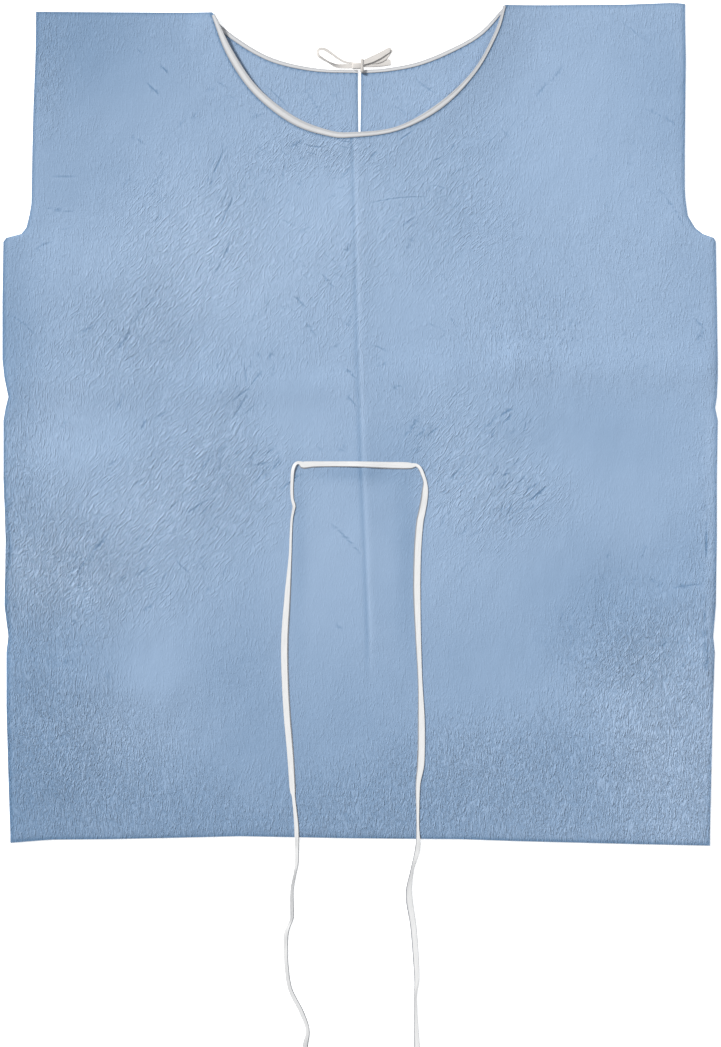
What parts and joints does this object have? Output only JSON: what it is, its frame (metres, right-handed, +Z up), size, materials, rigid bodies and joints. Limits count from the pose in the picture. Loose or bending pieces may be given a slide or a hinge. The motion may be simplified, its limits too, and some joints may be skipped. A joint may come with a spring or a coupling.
{
  "type": "exam gown",
  "caption": "Short sleeveless disposable exam gown laid flat, open down the back, with a bound round neck tied in a bow and a long waist tape.",
  "frame": {"origin": "on the resting surface, under the middle of the gown's own box without the belt", "axes": "+X across the gown to the right of the picture, +Y from the hem to the neck, +Z up from the surface, out of the front"},
  "size_m": [0.9082, 1.41, 0.0123],
  "materials": {
    "cloth": "matte crepe nonwoven, light steel blue",
    "neck_tape": "matte white nonwoven tape",
    "belt_tape": "matte white nonwoven tape"
  },
  "bodies": {
    "root": {"front_panel": "cloth", "back_panel_left": "cloth", "back_panel_right": "cloth", "neck_tape_front": "neck_tape", "neck_tape_back_left": "neck_tape", "neck_tape_back_right": "neck_tape", "bow_knot": "neck_tape", "bow_loop_left": "neck_tape", "bow_loop_right": "neck_tape", "bow_tail": "neck_tape", "belt_run": "belt_tape", "belt_left": "belt_tape", "belt_right": "belt_tape"}
  },
  "joints": []
}
